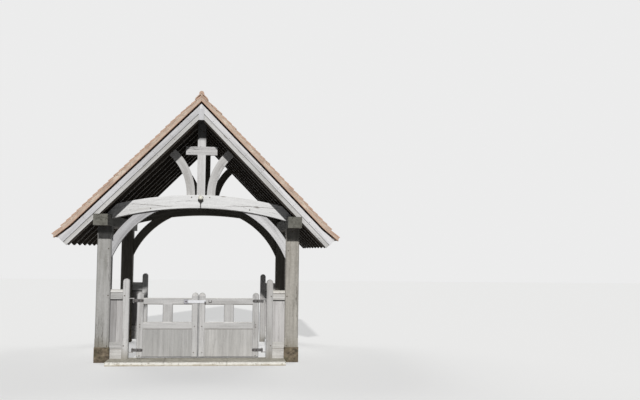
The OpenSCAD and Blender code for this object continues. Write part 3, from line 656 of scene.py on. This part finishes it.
def lay_tiles(side, word, seed, finish):
    """Plain tiles as cambered slabs.

    Along a tile t runs from tail to head and across it s from -1 to 1; the upper face lies at
    step height - slope * t - camber * s^2 - hog * (2t/length - 1)^2, and the lower face a thickness below."""
    rng = np.random.default_rng(seed)
    *places, tone = tile_places(rng)
    left, right, tail, lift, tilt = (values[:, None, None] for values in places)
    # the courses under the ridge tiles are cut short of the crest
    reach = tail * SLOPE[0] + (TILE_HEAD + TILE_STEP) * SLOPE[1]
    length = np.minimum(TILE_LENGTH, reach / (SLOPE[0] + TILE_STEP / GAUGE * SLOPE[1]) - 0.003)
    t = length * [[0.0], [0.025], [0.42], [1.0]]
    worn = [[0.0025], [0], [0], [0]]
    s = np.linspace(-1, 1, 5)
    hog = 0.0018
    camber = rng.uniform(0.0015, 0.0042, left.shape)
    along = (left + right) / 2 + s * (right - left) / 2
    rise = (TILE_HEAD + TILE_STEP - t * TILE_STEP / GAUGE + lift + tilt * (s - 1) - camber * s ** 2
            - hog * (2 * t / length - 1) ** 2)
    skins = [slope_points(tail - t, rise - low, along, side) for low in (worn, TILE_THICK)]
    rows, cols = len(worn), len(s)
    size = 2 * rows * cols
    made = piece(f"plain_tiles_{word}", np.stack(skins, 1), repeated(slab_faces(rows, cols), len(tone), size),
                 finish, "clay_tile", tone=np.repeat(tone, size))
    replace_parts(made, f"tiles_{word}")


def low_line(height, share):
    """Points in the section on the lower line of the tiling at a height: straight, then flared."""
    k = 1 + math.cos(PITCH - FLARE)
    bend = np.array([FLARE_X + height * (math.sin(PITCH) + math.sin(FLARE)) / k,
                     CREST - FLARE_X * math.tan(PITCH) + height * (math.cos(PITCH) + math.cos(FLARE)) / k])
    crest = np.array([0.0, CREST + height / math.cos(PITCH)])
    tip_x = TIP - 0.034
    tip = np.array([tip_x, bend[1] - (tip_x - bend[0]) * math.tan(FLARE)])
    first, second = np.linalg.norm(bend - crest), np.linalg.norm(tip - bend)
    run = share * (first + second)
    a = np.minimum(run / first, 1.0)[..., None]
    b = np.clip((run - first) / second, 0.0, 1.0)[..., None]
    return np.where(run[..., None] <= first, crest + (bend - crest) * a, bend + (tip - bend) * b)


def bed_tiles(side, word, seed, finish):
    """Bedding under the tiles: rough mortar faces at both verges join the flared lower line to an upper
    line that rises under each course, point = lower + (upper - lower) * t, each rippled by noise."""
    rng = np.random.default_rng(seed)
    cols, crown, lip, fall, inset, depth = 7, 0.0725, 0.013, 0.14, 0.0075, 0.0018
    tails = course_tails((TIP - 0.03) / SLOPE[0])
    heads = np.concatenate([[0.0], tails[:-1]])
    top_down = (heads[:, None] + (tails - heads)[:, None] * [0.015, 0.2, 0.4, 0.6, 0.8, 0.965]).ravel()
    rows = len(top_down)
    share = top_down / top_down[-1]
    low = low_line(BED_LOW + 0.006, share)
    short = np.repeat(tails, 6) - top_down
    height = crown + tile_lift(np.maximum(top_down - GAUGE, 0.0)) + np.clip(lip - fall * short, 0.0, None)
    high = np.stack([top_down * SLOPE[0], CREST + height / SLOPE[0] - top_down * SLOPE[1]], -1)
    t = np.linspace(0, 1, cols)[None, :, None]
    section = low[:, None] * (1 - t) + high[:, None] * t
    section[..., 0] *= side
    ends = []
    for end in (-1, 1):
        ripple = rng.normal(0, 1, (rows, cols))
        ripple = (ripple + np.roll(ripple, 1, 0) + np.roll(ripple, -1, 0) + np.roll(ripple, 2, 0)) / 2
        verge = (end * (VERGE - (inset + np.clip(ripple, -2.2, 2.2) * depth)))[..., None]
        ends.append(np.concatenate([section[..., :1], verge, section[..., 1:]], -1))
    made = piece(f"tile_bedding_{word}", np.stack(ends), slab_faces(rows, cols), finish, "clay_tile")
    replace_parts(made, f"tiles_{word}")


def lay_undercloak(side, word, seed, finish):
    """Flat tiles under the mortar at both verges, end to end down the slope and round the flare.

    Each is a slab between two low lines 11 mm apart, point = line(share of the way down)."""
    rng = np.random.default_rng(seed)
    count, steps = 18, 3
    cuts = np.linspace(0, 1, count + 1)
    t = np.linspace(0, 1, steps)
    share = cuts[:-1, None] + np.diff(cuts)[:, None] * (0.006 + 0.988 * t)
    low, high = low_line(BED_LOW + 0.0005, share), low_line(BED_LOW + 0.0115, share)
    blocks, tones = [], []
    for end in (-1, 1):
        across = end * (VERGE - rng.uniform(0.001, 0.007, (count, 1, 1)) - [0, 0.05, 0.1])
        skins = [np.stack(np.broadcast_arrays(side * line[..., :1], across, line[..., 1:]), -1)
                 for line in (high, low)]
        blocks.append(np.stack(skins, 1))
        tones.append(np.clip(rng.normal(0.45, 0.2, count), 0, 1))
    slab, size = slab_faces(steps, steps), 2 * steps * steps
    faces = np.concatenate([repeated(slab[:, ::-1], count, size), repeated(slab, count, size) + count * size])
    piece(f"undercloak_{word}", np.concatenate(blocks), faces, finish, "clay_tile",
          tone=np.repeat(np.concatenate(tones), size))


def bed_ridge(finish):
    """Mortar along both lower edges of the ridge tiles and in the joints between them.

    A rough roll of radius 10.5 mm * (1 + 0.2 * noise) follows each edge, and a smooth core fills the joints."""
    rng = np.random.default_rng(41)
    sides, roll, core = 9, 0.0105, 0.0315
    low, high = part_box("ridge_tiles")
    run = np.linspace(low.y + 0.006, high.y - 0.006, 330)
    points, walls, lids, used = [], [], [], 0
    for side in (-1, 1):
        x, z = side * (high.x - 0.004), low.z + 0.0045
        path = np.stack([np.full_like(run, x), run, np.full_like(run, z)], -1)
        p, (wall, lid) = tube(path, roll, sides)
        swell = rng.normal(0, 1, (len(run), sides))
        swell = (swell + np.roll(swell, 1, 0) + np.roll(swell, -1, 0)) / 3
        centre = np.repeat(path, sides, axis=0)
        p = centre + (p - centre) * (1 + 0.2 * np.clip(swell, -2, 2).reshape(-1, 1))
        points.append(p), walls.append(wall + used), lids.append(lid + used)
        used += len(p)
    run = np.linspace(low.y + 0.009, high.y - 0.009, 9)
    path = np.stack([np.zeros_like(run), run, np.full_like(run, high.z - 0.035)], -1)
    p, (wall, lid) = tube(path, core, 28)
    points.append(p), walls.append(wall + used)
    piece("ridge_bedding", np.concatenate(points), [np.concatenate(walls), np.concatenate(lids), lid + used],
          finish, "clay_tile")


# ------ pegs, nails, bolts
def mirrored(spots):
    """Each (x, z) place and its mirror place across the middle of the gate."""
    spots = np.asarray(spots, float)
    return np.concatenate([spots, spots * [-1, 1]])


def on_face(spots, y):
    """The (x, z) places as points on the upright face at y."""
    x, z = np.asarray(spots, float).T
    return np.stack(np.broadcast_arrays(x, y, z), -1)


def drive_pegs(name, places, outward, finish, body="lychgate", radius=0.0095):
    """Riven oak pegs: eight-sided, a little proud, with a broken arris."""
    profile = [(radius, -0.004), (radius, 0.0012), (radius * 0.86, 0.003), (radius * 0.3, 0.0036)]
    piece(name, *turned(places, outward, profile, 8, 0.4), finish, "oak", body)


def peg_frame(finish):
    """Pegs at the tenons of both trusses, each driven from the outer face."""
    tie = np.concatenate([mirrored([(0.133, 2.413), (0.724, 2.238)]), [(0.033, 2.416)]])
    king = [(0.022, 3.395), (-0.022, 3.43)]
    post = mirrored([(1.307, 1.641)])
    foot = mirrored([(1.37, 1.925)])
    screen = mirrored([(1.297, 0.965), (1.297, 0.24), (1.068, 0.96), (1.068, 0.235)])
    for end, word in ENDS:
        king_face, screen_face = end * (abs(TRUSS) + 0.06), end * (abs(TRUSS) + 0.0475)
        spots = [on_face(tie, end * abs(TIE_FACE)), on_face(king, king_face),
                 on_face(np.concatenate([post, foot, screen[[0, 1, 4, 5]]]), end * abs(POST_FACE)),
                 on_face(screen[[2, 3, 6, 7]], screen_face)]
        drive_pegs(f"frame_pegs_{word}", np.concatenate(spots), (0, end, 0), finish)


def peg_leaves(finish):
    """Pegs at the tenons of the leaf rails, front and back."""
    front = np.array([(0.053, 0.515), (0.062, 0.134), (0.842, 0.54), (0.842, 0.505), (0.842, 0.09)])
    through = np.concatenate([front, [(0.036, 0.88), (0.446, 0.555), (0.446, 0.85)]])
    for side, word in SIDES:
        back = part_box(f"gate_frame_{word}")[1].y
        for name, spots, face, out in ((f"leaf_pegs_{word}", front, LEAF_FACE, -1),
                                       (f"leaf_pegs_{word}_back", through, back, 1)):
            drive_pegs(name, on_face(spots * [side, 1], face), (0, out, 0), finish, f"{word}_gate", 0.008)


def bolt_irons(finish):
    """Bolts through the hinge straps, and sunk screws in the latch plate that the bar passes over.

    A bolt is a thin washer under a domed head, radius * cos a wide and 0.55 * radius * sin a high."""
    radius, foot = 0.0075, 0.0022
    a = np.linspace(0, np.pi / 2, 6)
    dome = np.stack([radius * np.cos(a) + 1e-4, foot + radius * 0.55 * np.sin(a)], -1)
    profile = np.concatenate([[(radius * 1.5, -0.001), (radius * 1.5, 0.0014), (radius * 1.25, foot)], dome])
    straps = np.array([(x, z) for z in (0.172, 0.89) for x in (0.812, 0.862)])
    for side, word in SIDES:
        bolts = turned(on_face(straps * [side, 1], LEAF_FACE - 0.008), OUTWARD, profile, 14)
        piece(f"strap_bolts_{word}", *bolts, finish, "black_iron", f"{word}_gate")
    plate = [(x, z) for z in (0.853, 0.903) for x in (-0.207, -0.157)]
    head = [(0.0036, -0.002), (0.0036, 0.0002), (0.0031, 0.0003), (0.0012, 0.0)]
    screws = turned(on_face(plate, LEAF_FACE - 0.004), OUTWARD, head, 10)
    piece("latch_plate_screws", *screws, finish, "black_iron", "left_gate")


def fit_latch_trim(zinc, dark):
    """Square washer plate over the end of the latch bar, drawn by a four-sided profile round the pivot,
    and a keep of bent rod on the right leaf, a round section carried along its path."""
    edge = [(0.041, 0), (0.041, 0.0006), (0.0398, 0.0011)]
    washer = turned([(LATCH_X, LATCH_FACE, LATCH_Z)], OUTWARD, edge, 4, math.pi / 4)
    piece("latch_washer", *washer, zinc, "galvanised", "left_gate")
    near, far, low, high = 0.149, 0.188, 0.867, 0.896
    root, out = LEAF_FACE + 0.002, LEAF_FACE - 0.01
    half = [(near, root, high), (near, out, high), (near, out, low)]
    route = rounded_path(half + [(far, y, z) for _, y, z in half[::-1]], 0.005, 6)
    piece("latch_keep", *tube(route, 0.0034, 10), dark, "black_iron", "right_gate", smooth=True)


def nail_boards(finish):
    """Rose-headed nails along the bargeboards and cover boards: six-sided low cones in rows down the slope."""
    radius = 0.0045
    head = [(radius, -0.002), (radius, 0.0006), (radius * 0.25, 0.0024)]
    cover = abs(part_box("barge_covers")[0].y)
    barge = abs(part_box("bargeboard_front_left")[0].y)
    down = np.arange(0.3, 2.45, 0.335)
    for end, word in ENDS:
        spots = [slope_points(down, rise, end * face, side)
                 for side, _ in SIDES for rise, face in ((-0.02, cover), (-0.055, cover), (-0.1, barge))]
        nails = turned(np.concatenate(spots), (0, end, 0), head, 6, 0.2)
        piece(f"barge_nails_{word}", *nails, finish, "black_iron")


# ------ splits in the timber
def open_splits(name, lines, y, finish, width):
    """Drying splits as slender spindles: each follows its line, half width = width * (sin(pi t)) ^ 0.6
    square to the line, with a wandering edge, and stands a hair in front of the face at y."""
    rng = np.random.default_rng(77)
    kernel = np.hanning(9) / np.hanning(9).sum()
    points, faces, used = [], [], 0
    for line in lines:
        line = np.asarray(line, float)
        along = np.concatenate([[0], np.cumsum(np.linalg.norm(np.diff(line, axis=0), axis=1))])
        steps = max(24, int(along[-1] / 0.012))
        at = np.linspace(0, along[-1], steps)
        x, z = (np.convolve(np.pad(np.interp(at, along, line[:, k]), 4, mode="edge"), kernel, mode="valid")
                for k in (0, 1))
        ahead = np.gradient(np.stack([x, z]), axis=1)
        aside = np.stack([-ahead[1], ahead[0]]) / np.linalg.norm(ahead, axis=0)
        wander = np.convolve(rng.normal(0, 1, steps + 8), kernel, mode="valid") * 0.003
        half = width * np.sin(np.pi * np.linspace(0.02, 0.98, steps)) ** 0.6 * rng.uniform(0.55, 1.0, steps)
        edges = [np.stack([x, z], -1) + aside.T * (wander + sign * half)[:, None] for sign in (1, -1)]
        skins = [np.stack([on_face(edge, y - lift) for edge in edges], 1) for lift in (0.0006, -0.003)]
        points.append(np.stack(skins).reshape(-1, 3))
        faces.append(slab_faces(steps, 2) + used)
        used += steps * 4
    piece(name, np.concatenate(points), np.concatenate(faces), finish, "oak")


# ------ lamp and its cable
def build_lamp(finish, cable_finish, iron):
    """Round fitting on the tie beam: base ring, bead and domed shell as one turned profile, below it a
    bowl that tapers to a neck as a second one, pressed flatter, and a sheathed cable clipped to the face
    and led under the beam."""
    pressed = 0.7
    low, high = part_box("lamp")
    centre = (low + high) / 2
    radius = (high.z - low.z) / 2
    deep = high.y - low.y
    bell = radius * 0.93
    a = np.linspace(0.1, 1, 14) * np.pi / 2
    dome = np.stack([bell * np.cos(a) + 1e-4, deep - bell * (1 - np.sin(a))], -1)
    rim = np.array([(0.9, -0.001), (0.97, 0.001), (0.99, 0.005), (0.97, 0.009),
                    (0.89, 0.011), (0.88, 0.014), (0.985, 0.017), (0.99, 0.021)])
    profile = np.concatenate([rim * [radius, 1], dome[dome[:, 1] > 0.0215]])
    shell = turned([(centre.x, TIE_FACE, centre.z)], OUTWARD, profile, 48)
    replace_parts(piece("lamp_shell", *shell, finish, "lamp_shell", smooth=True), "lamp")
    holder = [(0.03, -0.004), (0.0395, -0.008), (0.042, -0.0055), (0.041, 0.002), (0.037, 0.0095),
              (0.0295, 0.017), (0.0195, 0.025), (0.012, 0.033), (0.0095, 0.046), (0.006, 0.048)]
    points, faces = turned([(centre.x, TIE_FACE - 0.0375, centre.z - radius * 0.86)], (0, 0, -1), holder, 36)
    points[:, 1] = TIE_FACE + (points[:, 1] - TIE_FACE) * pressed
    piece("lamp_holder", points, faces, cable_finish, "black_iron", smooth=True)
    # (y, z) places of the cable: out of the neck, down the face, under the beam and up into it
    face, thick, base = TIE_FACE - 0.0064, 0.0062, centre.z - radius
    run = [(TIE_FACE - 0.0262, base - 0.03), (face, base - 0.06), (face, TIE_LOW - thick),
           (TIE_FACE + 0.115, TIE_LOW - thick), (TIE_FACE + 0.122, TIE_LOW + 0.012)]
    route = rounded_path([(0, y, z) for y, z in run], 0.008)
    piece("lamp_cable", *tube(route, thick, 14), cable_finish, "black_iron", smooth=True)
    saddle = [(0.0098, -0.001), (0.0098, 0.011), (0.008, 0.0136), (0.003, 0.0142)]
    piece("cable_clip", *turned([(0, TIE_FACE, TIE_LOW + 0.026)], OUTWARD, saddle, 14), iron, "black_iron")


# ------ everything together
def give(finish, *names):
    """Puts a finish on every material slot of the named nodes."""
    for name in names:
        materials = NODES[name].data.materials
        if not len(materials):
            materials.append(finish)
        for k in range(len(materials)):
            materials[k] = finish


def oak(nodes, *look, **settings):
    """Gives the named nodes an oak of that look."""
    give(oak_finish(*look, **settings), *nodes.split())


def finish_timber():
    """Every timber of the frame gets the oak of its own place in the building."""
    plate_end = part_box("wall_plate_left")[1].y
    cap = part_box("screen_rails")[1].z - 0.0405
    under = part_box("screen_boards")[1].z
    leaf_foot, leaf_top = (corner.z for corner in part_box("gate_frame_left"))
    tie_arc = (0.0, TIE_LOW - TIE_RADIUS, TIE_RADIUS)
    brace_arc = (0.0, ARCH_Z, ARCH_RADIUS)
    strut_arc = (STRUT_X, STRUT_Z, STRUT_RADIUS)
    # painted shade: the rear truss and rear posts take much darker tones than the same oak at the front, for
    # the shade they stand in under the roof
    rear_painted_shade = ((118, 115, 108), (96, 93, 86), (70, 66, 60))
    # sheltered brown oak made much darker still: painted shade, so that the rafters, ridge, battens and roof
    # boards read as the dark soffit
    dark = ((72, 65, 57), (55, 49, 43), (38, 34, 30))
    cover = ((209, 209, 212), (196, 196, 198), (166, 165, 165))
    right = (0, FAR, 0, FAR)
    tip = (-0.019, 0.019, CREST - 0.075, FAR, 1.28)
    # painted shade: a dark band along the foot of both leaves and their boards, where the gap over the tread
    # lies in shade
    foot = (-FAR, FAR, 0, leaf_foot + 0.009, 0.35)
    # the three rails of a leaf, and a painted highlight along the upper arris of two of them
    rails = [(0.098, 0.794, 0.832, 0.928), (0.098, 0.794, 0.471, 0.577), (0.098, 0.794, 0.06, 0.18)]
    painted_highlight_arrises = [(side * 0.446 - 0.348, side * 0.446 + 0.348, top - 0.006, top + 0.004, 1.5)
            for side, _ in SIDES for top in (0.928, 0.577)]

    # painted shade: each front post darkens towards its top, in the shade of the plate end above it
    oak("post_front_left", "post_oak", "z", ((174, 173, 171), (155, 154, 151), (120, 117, 110)), ground=0.3,
        streaks=0.17, lichen=0.22, dusk=(2, 1.85, 1.89, 0.32))
    oak("post_front_right", "post_oak_warm", "z", ((178, 174, 166), (160, 156, 149), (125, 120, 111)),
        ground=0.3, seed=3.6, lichen=0.28, dusk=(2, 1.79, 1.83, 0.5))
    oak("post_rear_left post_rear_right", "post_oak_north", "z", rear_painted_shade, ground=0.45, seed=21.0)
    # painted shade: each wall plate darkens inward from its end, where it runs into the shade under the roof
    oak("wall_plate_left wall_plate_right", "plate_oak", "y", ((119, 118, 111), (99, 98, 91), (73, 71, 65)),
        seed=1.7, lichen=0.3, dusk=(1, plate_end - 0.006, plate_end - 0.03, 0.38))
    oak("tie_beam_front", "tie_oak", tie_arc, ((226, 226, 226), (215, 215, 215), (188, 186, 181)), seed=2.2,
        checks=0.5, lichen=0.2)
    oak("tie_beam_rear", "tie_oak_north", tie_arc, rear_painted_shade, seed=22.0)
    oak("arch_braces_front", "brace_oak", brace_arc, ((186, 186, 188), (171, 171, 173), (144, 143, 143)),
        seed=4.0, checks=0.8, streaks=0.2, lichen=0.3, washed=[(*right, 1.36)])
    oak("arch_braces_rear", "brace_oak_north", brace_arc, rear_painted_shade, seed=24.0)
    # painted shade: the top of the front king post darkens, for the shade under the gable
    oak("king_post_front", "king_oak", "z", ((216, 216, 216), (204, 203, 203), (178, 175, 171)), seed=5.0,
        checks=0.6, lichen=0.16, dusk=(2, 3.255, 3.3, 0.24))
    oak("king_post_rear", "king_oak_north", "z", rear_painted_shade, seed=25.0)
    oak("cross_arm", "arm_oak", "x", ((206, 205, 205), (192, 191, 191), (165, 162, 159)), seed=6.0, lichen=0.2)
    oak("king_struts_front", "strut_oak", strut_arc, ((205, 204, 203), (190, 189, 188), (160, 157, 153)),
        seed=7.0, checks=0.6, lichen=0.2)
    oak("king_struts_rear", "strut_oak_north", strut_arc, rear_painted_shade, seed=27.0)
    # painted shade: the soffit timbers, roof boards included, take the darkened tones
    oak("principal_rafters common_rafters", "rafter_oak", "slope", dark, seed=8.0, shelter=0.0)
    oak("ridge_board battens", "ridge_oak", "y", dark, seed=9.0, shelter=0.0)
    oak("roof_boards_left roof_boards_right", "roof_board_oak", "y", ((74, 66, 57), (56, 50, 43), (40, 35, 31)),
        seed=10.0, shelter=0.0)
    oak("bargeboard_front_left bargeboard_front_right bargeboard_rear_left bargeboard_rear_right",
        "barge_oak", "slope", ((206, 205, 204), (190, 189, 187), (158, 155, 150)), seed=11.0, checks=0.7,
        lichen=0.14)
    oak("barge_covers", "cover_oak", "slope", cover, seed=12.4, checks=0.7, lichen=0.12,
        washed=[(*right, 1.14), tip])
    oak("barge_keys", "key_oak", "z", cover, seed=13.0, washed=[tip])
    oak("screen_posts", "screen_post_oak", "z", ((202, 201, 200), (190, 189, 188), (158, 155, 151)), ground=0.1,
        seed=14.0, edge=0.004, checks=0.5, lichen=0.2, washed=[(*right, 0.86)])
    # painted highlight: the capping is made paler, for its top that faces the sky
    oak("screen_rails", "screen_rail_oak", "x", ((186, 185, 184), (172, 171, 169), (142, 139, 135)), seed=15.0,
        edge=0.004, checks=0.5,
        lichen=0.15, washed=[(-FAR, 0, cap, FAR, 1.5), (0, FAR, cap, FAR, 1.36), (-FAR, 0, 0, 0.19, 1.22),
                             (*right, 1.38), (0, FAR, 0.196, 0.295, 0.85)])
    # painted shade: a dark band across the top of the boards under the top rail; the two zones after it are the
    # boards' own tones
    oak("screen_boards", "screen_board_oak", "z", ((184, 183, 183), (170, 168, 168), (140, 137, 134)),
        seed=16.0, edge=0.003, boards=0.0875, checks=0.4, streaks=0.16,
        washed=[(*right, 1.34), (-FAR, FAR, under - 0.02, FAR, 0.17), (-FAR, -1.178, 0, FAR, 0.82),
                (-1.178, 0, 0, FAR, 1.14)])
    # painted shade: a dark strip along the meeting stiles, for the shaded gap between the leaves; painted
    # highlight: paler rounded stile tops
    oak("gate_frame_left gate_frame_right", "leaf_oak", "z",
        ((195, 194, 193), (181, 180, 179), (151, 148, 145)), seed=17.0, edge=0.004,
        swap=("x", rails), checks=0.45, lichen=0.18,
        washed=[(-0.009, 0.009, 0, FAR, 0.22), (-0.1, 0.1, leaf_top - 0.05, FAR, 1.2), foot] + painted_highlight_arrises)
    oak("gate_boards_left gate_boards_right", "leaf_board_oak", "z",
        ((189, 188, 187), (174, 173, 171), (146, 145, 144)), seed=18.0,
        edge=0.003, boards=0.1392, checks=0.3, streaks=0.13, lichen=0.1, washed=[(*right, 1.08), foot])


def finish_rest():
    """Stone, iron, zinc and clay of the frame; what a scene piece replaces keeps a plain match."""
    give(stone_finish("pad_rock", ((76, 67, 54), (104, 93, 78), (126, 114, 96)), algae=0.22, blotch=0.8),
         "padstones")
    give(stone_finish("tread_rock", ((160, 155, 142), (190, 185, 172), (208, 204, 192)), algae=0.08),
         "threshold")
    give(stone_finish("nosing_rock", ((132, 126, 112), (158, 152, 138), (180, 174, 160)),
                      tint(236, 234, 226), algae=0.1), "step_nosing")
    give(iron_finish("strap_iron", ((86, 85, 85), (96, 68, 52), (150, 148, 146)), 0.4, 0.25, 0.7),
         "gate_irons_left", "gate_irons_right")
    give(iron_finish("hook_iron", ((146, 145, 144), (116, 84, 64), (190, 188, 185)), 0.3, 0.3, 0.65),
         "hinge_hooks")
    give(iron_finish("zinc_bar", ((218, 219, 223), (184, 178, 172), (232, 233, 236)), 0.25, 0.05, 0.8, 1.12),
         "latch_bar")
    give(lamp_finish("cream_shell"), "lamp")
    give(tile_finish("ridge_clay", core=True), "ridge_tiles", "tiles_left", "tiles_right")


def build():
    set_camera()
    set_light()
    lay_floor()
    finish_timber()
    finish_rest()
    clay, mortar = tile_finish("plain_tile_clay"), mortar_finish("verge_mortar")
    for (side, word), seed in zip(SIDES, (11, 23)):
        lay_tiles(side, word, seed, clay)
        bed_tiles(side, word, seed + 1, mortar)
        lay_undercloak(side, word, seed + 2, clay)
    bed_ridge(mortar)
    peg = oak_finish("peg_oak", "y", ((104, 96, 84), (78, 70, 60), (50, 44, 38)), edge=0.001, checks=0.0)
    peg_frame(peg)
    peg_leaves(peg)
    dark_iron = iron_finish("bolt_iron", ((52, 50, 49), (96, 62, 44), (120, 118, 114)))
    bolt_irons(dark_iron)
    washer = iron_finish("washer_zinc", ((150, 149, 155), (120, 106, 96), (196, 196, 200)), 0.25, 0.1, 0.75)
    fit_latch_trim(washer, dark_iron)
    nail_boards(iron_finish("nail_iron", ((70, 66, 62), (92, 70, 56), (110, 106, 100))))
    split = dark_finish("split_shade", tint(58, 50, 44))
    # (x, z) places along each split, read as left and right of the gate's middle
    open_splits("tie_splits", [
        [(-0.99, 2.307), (-0.849, 2.292), (-0.715, 2.289), (-0.625, 2.28), (-0.535, 2.275), (-0.4, 2.272)],
        [(0.343, 2.283), (0.518, 2.293), (0.714, 2.29), (0.911, 2.279), (1.088, 2.268), (1.205, 2.262)],
    ], TIE_FACE, split, 0.0032)
    open_splits("post_splits", [
        [(-1.366, 0.602), (-1.364, 0.51), (-1.357, 0.4), (-1.351, 0.247)],
        [(1.392, 0.93), (1.389, 0.8), (1.384, 0.66)],
    ], POST_FACE, split, 0.0026)
    build_lamp(lamp_finish("lamp_cream"), dark_finish("cable_sheath", tint(48, 46, 44)), dark_iron)


build()
